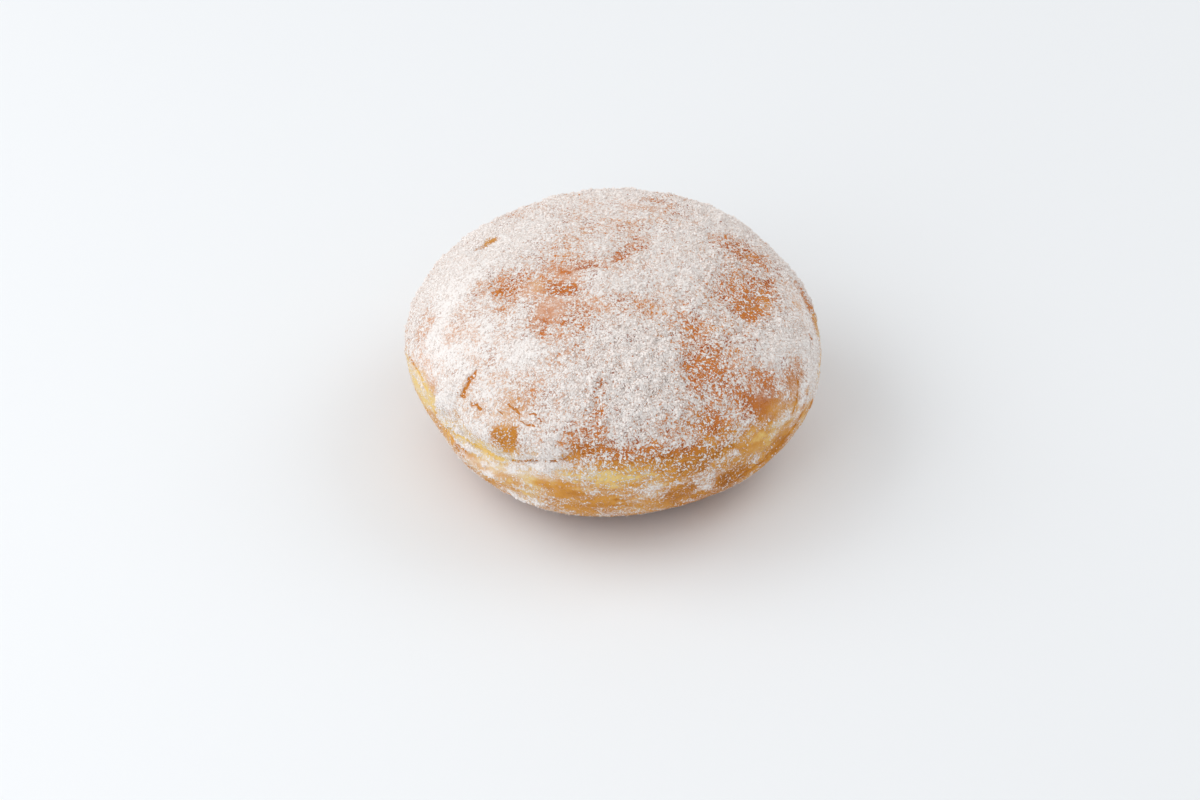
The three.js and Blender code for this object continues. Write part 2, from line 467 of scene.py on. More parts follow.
# %% Thicken the sugar
THICK_SUGAR = {
    "left shoulder": (448, 305, 44, 66, 20, 0.2),
    "left brow": (470, 260, 44, 22, -38, 0.2),
    "back left": (519, 231, 40, 18, -24, 0.19),
    "thick spot": (522, 350, 22, 14, 0, 0.24),
    "crown mound": (607, 284, 30, 15, 0, 0.18),
    "between the spots": (530, 284, 11, 9, -20, 0.18),
    "middle": (638, 345, 36, 34, 0, 0.15),
    "middle right": (672, 352, 14, 12, 0, 0.08),
    "low middle": (638, 394, 36, 34, 0, 0.19),
    "lip ridge": (444, 406, 7, 20, 5, 0.25),
    "left flank": (418, 385, 9, 32, -20, 0.02),
    "cushion end": (550, 453, 20, 9, -15, 0.34),
    "over the crack": (556, 456, 12, 6, -8, 0.38),
    "belly gap": (591, 495, 12, 8, 0, 0.28),
    "right shoulder": (776, 348, 26, 24, 0, 0.16),
    "inside the far rim": (785, 297, 7, 22, -28, 0.14),
    "right crown": (684, 266, 32, 14, 0, 0.16),
    "over the valley": (697, 306, 13, 10, 0, 0.15),
    "right brow gap": (742, 266, 18, 7, 20, 0.22),
    # The right edge is white sugar, whitened further as painted light on a rim that faces the lamps.
    "right edge": (814, 360, 9, 34, 3, 0.42),
    "right rim": (808, 394, 8, 28, 15, 0.2),
    "beside the smooth patch": (789, 415, 11, 13, -30, 0.32),
    "above the gold window": (780, 423, 9, 7, -40, 0.22),
    # The back edge is white sugar, whitened further as painted light on a rim that faces the lamps.
    "back edge": (714, 218, 32, 13, 28, 0.22),
    "left of the dots": (576, 391, 16, 14, 0, 0.16),
    "under the lip": (533, 474, 46, 10, 5, 0.3),
    "lip edge": (535, 466, 36, 2.5, 0, 0.3),
    "between the strips": (466, 445, 16, 3, 35, 0.45),
    "above the strip": (479, 437, 24, 6, 33, 0.3),
    "left band": (486, 463, 38, 10, 29, 0.14),
    "right belly": (705, 486, 18, 8, -22, 0.26),
    "band lump": (735, 454, 6, 4, 0, 0.6),
    "belly front": (640, 497, 24, 6, 0, 0.12),
}
paint(cover, THICK_SUGAR)
print("mean cover with", len(THICK_SUGAR), "thick patches:", mean(cover))

# %% [markdown]
# ## Where the sugar is worn through
#
# Elsewhere the sugar has been rubbed off or has soaked in, and the brown crust shows. These rows take from
# the cover: a little, and the sugar thins to a veil with dark pits; a lot, and the crust lies bare.

# %% Wear the sugar through
BARE_SPOTS = {
    "left dome": (510, 283, 22, 15, -15, -0.3),
    "left dome dot": (496, 312, 5, 4, 0, -0.3),
    "dome field": (540, 292, 64, 30, -4, -0.28),
    "tan veil": (545, 321, 17, 13, -30, -0.41),
    "dome arc": (551, 256, 20, 13, -10, -0.21),
    "veil low": (566, 345, 28, 16, 0, -0.16),
    "mid dome": (562, 287, 16, 9, -10, -0.38),
    "left dome end": (482, 288, 14, 10, -10, -0.26),
    "veil middle": (580, 315, 20, 17, 0, -0.16),
    "crown arc": (626, 251, 24, 8, -18, -0.2),
    "crown arc left": (580, 263, 16, 9, -20, -0.2),
    "mid dome up": (553, 273, 14, 9, -20, -0.14),
    "veil right": (634, 309, 40, 15, 8, -0.27),
    "behind the crown": (638, 243, 21, 10, 0, -0.26),
    "crown back": (628, 228, 26, 11, 0, -0.19),
    "right heart": (750, 306, 16, 13, 10, -0.5),
    "right field": (749, 279, 35, 32, 25, -0.35),
    "right brow": (734, 245, 30, 11, 28, -0.44),
    "heart right": (769, 297, 9, 8, 20, -0.36),
    "right dot": (768, 284, 9, 6, 25, -0.2),
    "valley": (706, 368, 26, 27, 10, -0.56),
    "valley head": (691, 328, 20, 14, 0, -0.32),
    "valley side": (734, 392, 17, 15, 0, -0.28),
    "right foot": (716, 425, 19, 15, 0, -0.64),
    "low middle right": (667, 430, 22, 11, 0, -0.24),
    "smooth patch": (767, 401, 14, 18, 5, -0.53),
    "beside it": (747, 403, 10, 14, 0, -0.5),
    "below it": (755, 417, 12, 8, -20, -0.22),
    "above it": (762, 376, 17, 10, 0, -0.42),
    "far right": (795, 374, 10, 18, 8, -0.42),
    "far right low": (787, 392, 6, 18, 8, -0.1),
    "orange spot": (505, 440, 13, 9.5, 30, -0.85),
    "orange spot head": (510, 430, 8, 4.5, 10, -0.15),
    "orange spot tail": (509, 450, 4, 6, 0, -0.3),
    "orange spot left": (500, 436, 9, 5, 15, -0.35),
    "lip end": (580, 449, 15, 9, -10, -0.4),
    "lip end right": (606, 455, 18, 8, 5, -0.3),
    "low dots": (596, 430, 11, 14, 0, -0.4),
    "low dots left": (577, 438, 13, 12, 0, -0.33),
    "middle dots": (595, 405, 7, 14, 5, -0.28),
    "low band left": (620, 448, 24, 9, 0, -0.3),
    "low band": (655, 452, 30, 10, -2, -0.34),
    "low band right": (694, 452, 24, 11, -10, -0.27),
    "brow mark": (493, 239, 10, 3, -20, -1.0),
    "brow mark low": (484, 246, 11, 3.2, -30, -1.1),
    "left mid up": (551, 367, 14, 11, 0, -0.18),
    "left mid low": (495, 368, 26, 26, 0, -0.07),
    "left mid head": (503, 340, 10, 12, 0, -0.12),
    "back rim": (655, 200, 16, 3, 5, -0.4),
    "left mid blush": (524, 396, 20, 20, 15, -0.34),
    "left streak": (471, 386, 8, 14, 25, -0.2),
    "lip cushion": (484, 410, 44, 26, 20, -0.1),
    "peach": (432, 388, 6, 15, -25, -0.22),
    "lip shade": (455, 408, 5, 14, -5, -0.15),
    "left edge": (426, 320, 10, 28, 20, -0.31),
    "over the flank": (419, 364, 10, 11, -20, -0.16),
    "above the lip": (435, 364, 9, 18, -20, -0.15),
    "left veil": (464, 323, 16, 28, 20, -0.3),
    "back veil": (612, 205, 55, 8, 0, -0.2),
    "back veil right": (655, 211, 26, 7, 8, -0.15),
    "golden band": (700, 460, 30, 10, -16, -0.55),
    "golden band left": (655, 466, 24, 7, -4, -0.22),
    "yellow window": (616, 480, 15, 11, 0, -0.34),
    "gold window": (755, 439, 18, 10, -35, -0.48),
    "gold window low": (768, 449, 10, 7, -40, -0.2),
    "band dimple": (732, 446, 4, 4, 0, -0.25),
    "belly gold": (560, 489, 25, 8, 6, -0.3),
    "belly gold right": (570, 493, 13, 6, 0, -0.12),
    "belly bottom": (600, 503, 40, 8, 0, -0.2),
    "belly patch": (683, 492, 11, 6, -15, -0.6),
    "belly patch low": (666, 498, 10, 4.5, -12, -0.5),
    "far patch": (731, 476, 15, 6.5, -25, -0.6),
    "right heel": (706, 494, 56, 14, -25, -0.08),
    "right hem": (700, 503, 50, 7, -20, -0.15),
    "front band": (618, 467, 42, 7, 0, -0.3),
    "right skirt": (781, 449, 18, 6, -50, -0.3),
}
paint(cover, BARE_SPOTS)
print("mean cover with", len(BARE_SPOTS), "worn patches:", mean(cover))

# %% [markdown]
# ## Flecks and ridges in the sugar
#
# The eye also catches small things: bare flecks up to about four millimetres long, sugar gathered along the
# lip and the skirt, and thin streaks along the rim. Flecks are small patches, and the long things are
# ridges, whose amount is taken away where it is negative.

# %% Pick out flecks and ridges
BARE_FLECKS = {
    "left dome": (503, 289, 5, 2.5, -30, -0.5),
    "left dome low": (495, 294, 2.5, 4, 20, -0.4),
    "left dome right": (509, 299, 3.5, 2, 0, -0.3),
    "mid dome": (569, 288, 5, 3.5, -20, -0.4),
    "mid dome left": (558, 292, 6, 2.5, 0, -0.4),
    "mid dome top": (568, 270, 5, 2, -5, -0.4),
    "arc": (591, 265, 8, 2.2, -8, -0.4),
    "arc right": (619, 256, 6, 3, -25, -0.2),
    "arc end": (626, 258, 3, 3, 0, -0.5),
    "veil foot": (548, 321, 4, 2, 0, -0.4),
    "veil foot low": (545, 331, 5, 2.5, -40, -0.3),
    "veil foot left": (530, 323, 2.5, 2.5, 0, -0.5),
    "veil foot right": (564, 322, 3.5, 2, -10, -0.5),
    "gold fleck": (583, 328, 2.5, 4, 20, -0.5),
    "right streak": (767, 281, 5.5, 2.2, 20, -0.5),
    "heart": (752, 315, 9, 6, 10, -0.5),
    "heart left": (726, 299, 2.5, 3, 0, -0.4),
    "brow": (754, 257, 3, 2.5, 0, -0.5),
    "valley left": (685, 365, 4, 6, 0, -0.4),
    "valley foot": (698, 393, 4, 2.5, -20, -0.5),
    "middle": (601, 387, 3, 4, 30, -0.5),
    "middle low": (597, 411, 3, 3.5, 0, -0.5),
    "foot": (686, 412, 3, 2.5, 0, -0.5),
    "foot low": (690, 424, 3, 3, 0, -0.5),
    "foot right": (700, 417, 2.5, 4, 0, -0.5),
    "low": (646, 440, 4, 5, 0, -0.4),
    "centre": (663, 373, 2, 4.5, 0, -0.45),
    "centre left": (620, 366, 5, 2, -30, -0.45),
    "centre mid": (643, 367, 5, 2, -20, -0.4),
    "cushion edge": (560, 445, 6, 3, -20, -0.5),
    "cushion edge top": (570, 435, 7, 2, -5, -0.3),
    "cushion edge left": (557, 434, 5, 1.8, 0, -0.4),
}
SUGAR_RIDGES = {
    "lip edge": (2.0, 0.3, (444, 420), (462, 432), (480, 444), (500, 455), (535, 459)),
    "left skirt": (1.7, 0.44, (448, 444), (462, 458), (480, 471), (508, 484)),
    # Sugar taken off along the left skirt edge is partly a real groove and partly a painted shadow line under
    # the skirt.
    "left skirt edge": (0.9, -0.15, (452, 456), (466, 471), (484, 482), (508, 490)),
    "left foot": (1.5, 0.44, (504, 487), (518, 496), (545, 508)),
    "right skirt": (0.6, 0.7, (722, 489), (733, 480), (747, 471)),
    "right foot": (1.6, 0.15, (640, 511), (680, 505), (715, 492)),
    "crown arc": (0.9, -0.1, (574, 268), (592, 265), (606, 260), (622, 253), (638, 247)),
    "back rim": (1.3, 0.25, (655, 197), (690, 203), (722, 214), (752, 229)),
    "far rim": (2.2, -0.65, (791, 276), (802, 290), (811, 306), (816, 322), (818, 335)),
    "rim streaks": (1.6, -0.12, (800, 372), (803, 390), (799, 410), (790, 430)),
    "right rim edge": (0.6, 0.4, (803, 380), (803, 397), (796, 420)),
}
paint(cover, BARE_FLECKS)
draw(cover, SUGAR_RIDGES)
print("mean cover with flecks and ridges:", mean(cover))

# %% [markdown]
# ## How brown the crust is
#
# Under the sugar the crust runs from pale dough in the band to brown on the dome, and the foot, which is
# not seen, is browned deeply too. The same darkening up the low belly is painted shade near the floor. Bare
# patches are often darker than their surroundings, since dark dry spots hold less sugar. The rows add to the
# browning or, where they are negative, take from it.

# %% Brown the crust
BROWN_SPOTS = {
    "right heart": (746, 307, 20, 16, 10, 0.1),
    "crown arc": (622, 253, 30, 8, -18, 0.15),
    "brow mark": (485, 243, 18, 8, -25, -0.25),
    "cushion": (490, 412, 50, 30, 20, -0.15),
    "orange spot": (508, 441, 10, 8, 20, 0.02),
    "smooth patch": (769, 402, 18, 22, -10, 0.22),
    "right rim": (797, 400, 14, 36, 18, 0.2),
    "gold window": (757, 438, 24, 13, -35, 0.16),
    "golden band": (692, 461, 36, 11, -12, 0.38),
    "right band": (722, 455, 30, 14, -25, 0.2),
    "lip crack": (532, 461, 36, 3.5, 0, 0.4),
    "front band": (612, 466, 50, 8, 0, 0.1),
    "low band": (650, 453, 60, 9, 0, 0.15),
    "left flank": (418, 385, 11, 34, -20, -0.22),
    "peach": (432, 388, 6, 15, -25, 0.1),
    "left skirt": (478, 466, 44, 14, 36, -0.12),
    "lip strip": (478, 443, 34, 5, 33, -0.2),
    "lip strip low": (457, 446, 10, 5, 45, 0.3),
    "yellow window": (611, 482, 13, 11, 0, -0.16),
    "beside the window": (648, 474, 20, 8, -4, 0.02),
    "belly gold": (556, 484, 26, 7, 6, -0.1),
    "belly gold right": (568, 494, 14, 5, 0, 0.25),
    "belly patch": (678, 494, 18, 7, -20, 0.25),
    "far patch": (731, 476, 17, 7, -25, 0.2),
    "right heel": (706, 496, 60, 14, -25, 0.1),
    "right hem": (700, 503, 50, 7, -20, 0.2),
    "right skirt": (781, 449, 20, 7, -50, 0.15),
}
DOME_BROWN = 0.68
BAND_BROWN = 0.22
BELLY_BROWN = 0.42
UNDER_BROWN_AND_SHADE = 0.6
BAND_PALER = 0.08
BROWN_WAVES = ((0.10, 20.0, 21.0), (0.08, 5.0, 31.0))
BROWN_STREAKS = ((0.18, 3.0, 33.0),)

browning = by_zone(BAND_BROWN, DOME_BROWN, BELLY_BROWN)
# Browner low down: the browned foot, and painted shade on the low belly near the floor.
browning += UNDER_BROWN_AND_SHADE * under - BAND_PALER * band
browning += uneven(BROWN_WAVES)
browning += uneven(BROWN_STREAKS, DRAWN_OUT) * (1.0 - dome)
paint(browning, BROWN_SPOTS)
print("mean browning:", mean(browning))

# %% [markdown]
# ## Reddish or golden
#
# Brown has two tones on this bun: reddish on the dome, as on toast, and golden on the band and the belly.
# The layer called toast is 1 for reddish and 0 for golden. A few spots of the dome are golden as well,
# above all those that look moist. One more layer is simpler here than a second set of brown patches.

# %% Turn spots golden
GOLDEN_SPOTS = {
    "brow mark": (485, 243, 18, 8, -25, -0.9),
    "orange spot": (508, 438, 20, 17, 20, -0.9),
    "cushion": (488, 405, 50, 32, 20, -0.8),
    "smooth patch": (766, 402, 20, 24, -10, -0.15),
    "right rim": (797, 395, 18, 44, 18, -0.6),
    "right heart": (748, 308, 14, 11, 10, -0.3),
    "far rim": (801, 308, 34, 10, 62, -0.6),
    "lip end": (585, 450, 26, 12, 0, -0.4),
}
toast = dome.copy()
paint(toast, GOLDEN_SPOTS)
print("mean toast:", mean(toast))

# %% [markdown]
# ## Grainy or smooth
#
# Dry sugar lies in grains. Where the crust is moist the sugar has melted into a smooth film instead, and
# the thick cake on the left is so even that its grains hardly show. The layer called grain says how grainy
# the sugar is, about 1 on most of the dome and less on the belly. Rows that add make it grainier, rows that
# take make it smoother, and on the far side chance does both.

# %% Set the grain
GRAIN_SPOTS = {
    "middle": (640, 380, 70, 60, 0, 0.65),
    "right side": (740, 290, 50, 60, 20, 0.45),
    "right foot": (718, 418, 34, 30, 0, 0.25),
    "left spots": (503, 287, 18, 14, -10, 0.3),
    "mid spots": (564, 290, 16, 7, 0, 0.4),
    "band": (640, 466, 80, 12, -4, 0.2),
    "tan veil": (550, 309, 22, 14, -20, -0.7),
    "left veil": (529, 291, 18, 12, -20, -0.6),
    "brow mark": (485, 243, 14, 6, -25, -0.4),
    "arc veil": (572, 271, 26, 8, -12, -0.6),
    "veil right": (598, 304, 26, 10, 10, -0.4),
    "crown veil": (628, 222, 34, 10, 0, -0.3),
    "smooth patch": (766, 402, 16, 20, -20, -0.7),
    "gold window": (757, 440, 20, 11, -35, -0.6),
    "right rim": (798, 402, 15, 40, 15, -0.6),
    "left flank": (421, 385, 16, 36, -20, -0.65),
    "left band": (490, 462, 44, 10, 25, -0.25),
    "under the lip": (530, 474, 44, 10, 5, -0.3),
    "belly gold": (558, 487, 30, 10, 10, -0.3),
    "left foot": (520, 497, 26, 7, 28, -0.15),
    "left skirt": (478, 467, 46, 14, 38, -0.28),
    "far rim": (801, 308, 34, 9, 62, -0.7),
    "back veil": (612, 205, 55, 9, 0, -0.5),
    "left cake": (450, 320, 46, 64, 20, -0.6),
    "lip cushion": (500, 420, 62, 36, 18, -0.4),
    "left mid": (515, 360, 56, 46, 0, -0.35),
    "orange spot": (508, 440, 14, 13, 20, 0.15),
}
BELLY_SMOOTHER = 0.32
FAR_GRAIN_WAVES = ((0.5, 9.0, 61.0),)
GRAIN_RANGE = (0.05, 1.5)

grain = np.ones(len(places))
grain -= BELLY_SMOOTHER * belly
grain += uneven(FAR_GRAIN_WAVES) * far_side
paint(grain, GRAIN_SPOTS)
grain = np.clip(grain, *GRAIN_RANGE)
print("mean grain:", mean(grain))

# %% [markdown]
# ## Lip and cracks in relief
#
# The lip is a fold: dough above it rolls over, and a tight groove runs below the roll. The cracks are
# breaks in the sugar cake, shallower, with slightly raised edges. Both are made by moving vertices along
# the way out, like a sculpting brush that follows a line. The gap to the nearest crack, in half widths, is
# kept for the finish.

# %% Press the lip and the cracks
LIP_GROOVE = 0.4
LIP_GROOVE_WIDTH = 0.35
LIP_ROLL = 0.5
LIP_ROLL_AWAY = 1.8
CRACK_RIM = 0.4
CRACK_RIM_AWAY = 2.0
CRACK_TAPER = 0.8


def span(heights):
    return f"{heights.min():.2f} to {heights.max():.2f}"


lift = np.zeros(len(places))
distance, side, strength = lip_line.measure(places)
lift -= LIP_GROOVE * strength * np.exp(-distance / LIP_GROOVE_WIDTH)
lift += LIP_ROLL * strength * np.exp(-(((distance * side - LIP_ROLL_AWAY) / LIP_ROLL_AWAY) ** 2))

crack_gap = np.full(len(places), FAR)
for name, (half_width, depth, *_) in CRACKS.items():
    distance, _, strength = crack_lines[name].measure(jagged)
    share = distance / half_width
    rim = CRACK_RIM * np.exp(-((share - CRACK_RIM_AWAY) ** 2))
    lift += depth * strength * (rim - np.exp(-(share**2)))
    crack_gap = np.minimum(crack_gap, share + CRACK_TAPER * (1.0 - strength))
print("lip and cracks, mm:", span(lift))

# %% [markdown]
# ## Rolls and hollows
#
# Beside the lip the dough stands up in a roll, the skirt has a rounded hem, and heaps of sugar lie on the
# dome and the band. A roll is a ridge with a height in millimetres, a heap is a patch that ends in its
# height, and hollows have a negative height.

# %% Raise rolls and heaps
ROLLS = {
    "lip roll": (1.5, 1.0, (457, 386), (447, 391), (442, 403), (443, 418), (452, 429)),
    "lip hollow": (1.3, -0.45, (462, 394), (456, 402), (455, 413), (462, 424)),
    "strip ridge": (0.5, 0.3, (453, 434), (466, 444), (484, 454)),
    "left skirt": (1.1, 0.5, (448, 442), (462, 456), (480, 469), (506, 482)),
    "left skirt edge": (0.8, -0.4, (452, 456), (466, 471), (484, 482), (508, 490)),
    "left foot": (1.4, 0.5, (504, 487), (518, 496), (545, 508)),
    "right skirt": (0.8, 0.35, (720, 490), (733, 480), (747, 471)),
    "right foot": (1.6, 0.35, (640, 511), (680, 505), (715, 492)),
    "crown arc": (1.2, -0.35, (576, 268), (592, 265), (606, 260), (622, 253), (638, 247)),
    "far rim": (1.6, -0.4, (791, 276), (802, 290), (811, 306), (816, 322), (818, 335)),
}
HEAPS = {
    "crown mound": (614, 281, 30, 13, 0, 0.55),
    "thick spot": (522, 350, 24, 16, 0, 0.35),
    "band lump": (735, 454, 6, 5, 0, 0.5),
    "band grain": (734, 446, 3, 3, 0, 0.35),
}
draw(lift, ROLLS)
paint(lift, HEAPS)
print("with rolls and heaps, mm:", span(lift))

# %% [markdown]
# ## Sugar in relief
#
# Where sugar lies thick it also stands up, by about a third of a millimetre. Where it is grainy its top is
# uneven as well: small bumps less than two millimetres apart, and broader drifts. A Displace modifier could
# raise one noise within one vertex group, but the sums below take in all the layers at once. The foot stays
# flat.

# %% Raise the sugar
CAKE = 0.35
CAKE_EDGE = (0.3, 1.0)
CAKE_LEVEL = 0.6
CAKE_WAVES = ((0.42, 1.7, 41.0, 3), (0.4, 3.6, 43.0, 2))
BARE_SHARE = 0.25
GRAIN_POWER = 1.6
FOOT_EASE = (0.0, 2.0)


def at_least(least, share):
    """A share that starts from a least value instead of 0."""
    return least + (1.0 - least) * share


cover = np.clip(cover, 0.0, 1.0)
lift += CAKE * (smooth_step(*CAKE_EDGE, cover) - CAKE_LEVEL)
thickness = at_least(BARE_SHARE, cover) * grain**GRAIN_POWER
for height, spacing, shift, octaves in CAKE_WAVES:
    lift += thickness * height * waves(places, spacing, shift, octaves)
lift *= smooth_step(*FOOT_EASE, places[:, 2])
crust_mesh.vertices.foreach_set("co", ((places + outs * lift[:, None]) * MM).ravel())
crust_mesh.update()
print("whole relief, mm:", span(lift))

# %% [markdown]
# ## Layers that the finish can read
#
# A shader can't see the arrays, so each layer is stored on the mesh as an attribute: one number for each
# vertex, which the renderer blends across the triangles. An image would need an unwrapped surface first,
# and the vertices here are close enough together to do without.

# %% Store the layers on the crust
layers = {
    "cover": cover,
    "browning": np.clip(browning, 0.0, 1.0),
    "toast": np.clip(toast, 0.0, 1.0),
    "grain": grain,
    "crack": crack_gap,
}
for name, layer in layers.items():
    attribute = crust_mesh.attributes.new(name, "FLOAT", "POINT")
    attribute.data.foreach_set("value", layer.astype(np.float32))
print("layers:", list(layers))

# %% [markdown]
# ## Shader maths as expressions
#
# A shader is a sum written with nodes. The first class below wraps one socket, and each operator adds the
# Math node for it, so a mask can be written as 1 - cover * grain. The second class holds one material. Any
# node comes from its add method, which takes the node's type, its settings and its sockets.

# %% Wrap sockets
class Wire:
    """One output socket of a finish, which takes part in sums."""

    def __init__(self, finish, socket):
        self.finish = finish
        self.socket = socket

    def _math(self, operation, first, second):
        return self.finish.add("ShaderNodeMath", {"operation": operation}, {0: first, 1: second})

    def __add__(self, other):
        return self._math("ADD", self, other)

    def __radd__(self, other):
        return self._math("ADD", other, self)

    def __sub__(self, other):
        return self._math("SUBTRACT", self, other)

    def __rsub__(self, other):
        return self._math("SUBTRACT", other, self)

    def __mul__(self, other):
        return self._math("MULTIPLY", self, other)

    def __rmul__(self, other):
        return self._math("MULTIPLY", other, self)


class Finish:
    """A material and the nodes behind its Principled shader."""

    def __init__(self, name):
        self.material = bpy.data.materials.new(name)
        self.material.use_nodes = True
        self.tree = self.material.node_tree
        self.shader = self.tree.nodes["Principled BSDF"]

    def fill(self, node, sockets):
        """Links or sets each socket of a node that is named."""
        for key, value in sockets.items():
            if isinstance(value, Wire):
                self.tree.links.new(value.socket, node.inputs[key])
            else:
                node.inputs[key].default_value = value

    def add(self, kind, settings=None, sockets=None, output=0):
        node = self.tree.nodes.new(kind)
        for name, value in (settings or {}).items():
            setattr(node, name, value)
        self.fill(node, sockets or {})
        return Wire(self, node.outputs[output])

    def layer(self, name):
        """A layer that is stored on the mesh."""
        return self.add("ShaderNodeAttribute", {"attribute_name": name}, output="Fac")

    def bumps(self, spacing, detail=2.0, distortion=0.0):
        """Noise with bumps about so many millimetres apart, from -0.5 to 0.5."""
        where = self.add("ShaderNodeTexCoord", output="Object")
        sockets = {"Vector": where, "Scale": 1.0 / (spacing * MM), "Detail": detail, "Distortion": distortion}
        return self.add("ShaderNodeTexNoise", {}, sockets) - 0.5

    def step(self, value, low, high):
        """0 up to the low value and 1 from the high one, with a smooth run between them."""
        sockets = {"Value": value, "From Min": low, "From Max": high}
        return self.add("ShaderNodeMapRange", {"interpolation_type": "SMOOTHSTEP"}, sockets)

    def mix(self, share, first, second):
        """The first colour where the share is 0, the second where it is 1."""
        sockets = {"Factor": share, 6: first, 7: second}
        return self.add("ShaderNodeMix", {"data_type": "RGBA"}, sockets, output=2)


crust_finish = Finish("sugared_crust")
print("a new finish has", len(crust_finish.tree.nodes), "nodes")

# %% [markdown]
# ## The colours of the crust
#
# Fried dough runs from the yellow of bread to a deep brown, and sugar that has melted on it makes a film,
# paler than the crust and warmer than dry grains. Colours are given as a screen shows them, since that is
# how a picture is read, and turned into the linear values that shaders work with.

# %% Choose the colours
def colour(red, green, blue):
    """A colour as screens give it, 0 to 255, turned into linear values by the sRGB formula."""
    shares = [channel / 255 for channel in (red, green, blue)]
    return [s / 12.92 if s <= 0.04045 else ((s + 0.055) / 1.055) ** 2.4 for s in shares] + [1.0]


PALE_DOUGH = colour(236, 204, 130)
GOLDEN = colour(216, 152, 66)
RED_BROWN = colour(198, 116, 54)
DEEP_RED_BROWN = colour(158, 72, 24)
GOLD_BROWN = colour(194, 124, 42)
DEEP_GOLD_BROWN = colour(150, 84, 20)
PALE_FILM = colour(237, 216, 186)
TAN_FILM = colour(230, 198, 178)
# The pit colour is painted shade in the gaps between thick grains, warmed by the dough under the sugar.
SHADED_SUGAR_PITS = colour(229, 209, 198)
SUGAR_WHITE = colour(247, 242, 239)
print("pale dough in linear values:", [round(share, 3) for share in PALE_DOUGH[:3]])

# %% [markdown]
# ## The browned dough
#
# The finish is built up as the real bun is, and the dough comes first: pale, then golden, then brown, and
# deep brown where it fried longest. Four noises serve all that follows, from single grains of sugar to slow
# mottles of the dough. They read Object coordinates, so they stay fixed to the bun. A crack cuts through to
# the crust, and noise breaks its edge up.

# %% Brown the dough
CRACK_EDGE = (0.6, 1.2)
CRACK_CLUMPS = 1.6
CRACK_FINE = 2.2
CRACK_BROWNER = 0.15
BROWN_MOTTLE = 0.5
BROWN_CLUMPS = 0.4
TURNS_GOLDEN = (0.0, 0.35)
TURNS_BROWN = (0.3, 0.72)
TURNS_DEEP = (0.7, 1.05)

fine = crust_finish.bumps(spacing=0.42, distortion=0.8)
clumps = crust_finish.bumps(spacing=1.1, distortion=0.5)
blotches = crust_finish.bumps(spacing=3.4, detail=1.0)
mottle = crust_finish.bumps(spacing=6.0, detail=3.0)

ragged_gap = crust_finish.layer("crack") - clumps * CRACK_CLUMPS - fine * CRACK_FINE
crack = 1 - crust_finish.step(ragged_gap, *CRACK_EDGE)
brown = crust_finish.layer("browning") + mottle * BROWN_MOTTLE + clumps * BROWN_CLUMPS
reddish = crust_finish.layer("toast")
mid_brown = crust_finish.mix(reddish, GOLD_BROWN, RED_BROWN)
deep_brown = crust_finish.mix(reddish, DEEP_GOLD_BROWN, DEEP_RED_BROWN)
dough = crust_finish.mix(crust_finish.step(brown, *TURNS_GOLDEN), PALE_DOUGH, GOLDEN)
dough = crust_finish.mix(crust_finish.step(brown + crack * CRACK_BROWNER, *TURNS_BROWN), dough, mid_brown)
dough = crust_finish.mix(crust_finish.step(brown, *TURNS_DEEP), dough, deep_brown)
print("browned dough:", len(crust_finish.tree.nodes), "nodes")

# %% [markdown]
# ## The film of melted sugar
#
# Over the dough lies a film. It is crisp at its edges where the sugar is grainy and soft where it is
# smooth, so its two limits move with the grain. In grainy sugar, dark flecks of crust show between the
# grains, in fields of their own. A plain mix of two colours by the cover would look like paint.

# %% Spread the film
SPECKLE_FINE = 3.6
SPECKLE_CLUMPS = 1.8
DEPTH_MOTTLE = 0.4
DEPTH_BLOTCHES = 0.32
CRACK_CLEARS = 0.9
SMOOTH_FILM = (-0.04, 0.85)
GRAINY_FILM = (0.14, 0.52)
FILM_SPECKLE = 0.6
FILM_MOST = 0.94
FILM_TANS = (0.15, 0.6)
FILM_WHITENS = (0.5, 0.9)
FLECK_FIELDS = (-0.1, 0.12)
FLECK_MOTTLE = 0.5
FLECK_DEPTH = 0.12
FLECK_PITS = (0.07, 0.13)
FLECK_CLUMPS = 0.5
FLECK_BROWN = (0.2, 0.6)
FLECK_DARK = 0.8

covered = crust_finish.layer("cover")
grainy = crust_finish.layer("grain")
speckle = grainy * (fine * SPECKLE_FINE + clumps * SPECKLE_CLUMPS)
sugar_depth = covered + mottle * DEPTH_MOTTLE + blotches * DEPTH_BLOTCHES - crack * CRACK_CLEARS
film_edges = [grainy * (crisp - soft) + soft for soft, crisp in zip(SMOOTH_FILM, GRAINY_FILM)]
film_share = crust_finish.step(sugar_depth + speckle * FILM_SPECKLE, *film_edges) * FILM_MOST
film = crust_finish.mix(crust_finish.step(brown, *FILM_TANS), PALE_FILM, TAN_FILM)
# Where the sugar lies deep, the film takes the pit colour: painted shade between the grains.
film = crust_finish.mix(crust_finish.step(sugar_depth, *FILM_WHITENS), film, SHADED_SUGAR_PITS)
ground = crust_finish.mix(film_share, dough, film)

fleck_sum = blotches + mottle * FLECK_MOTTLE - sugar_depth * FLECK_DEPTH
fields = crust_finish.step(fleck_sum, *FLECK_FIELDS)
flecks = fields * crust_finish.step(0 - fine - clumps * FLECK_CLUMPS, *FLECK_PITS) * grainy
dark_share = flecks * crust_finish.step(brown, *FLECK_BROWN) * FLECK_DARK
ground = crust_finish.mix(dark_share, ground, deep_brown)
print("with film and flecks:", len(crust_finish.tree.nodes), "nodes")

# %% [markdown]
# ## White grains on the film
#
# Whether a white grain lies at a point is decided by fine noise against the depth of the sugar there, so
# half a cover gives about half the points white. Thin sugar is more speckled than thick. The same sum
# drives a bump, which is cheaper than a mesh fine enough for each grain, and the roughness, since sugar is
# duller than fried crust.

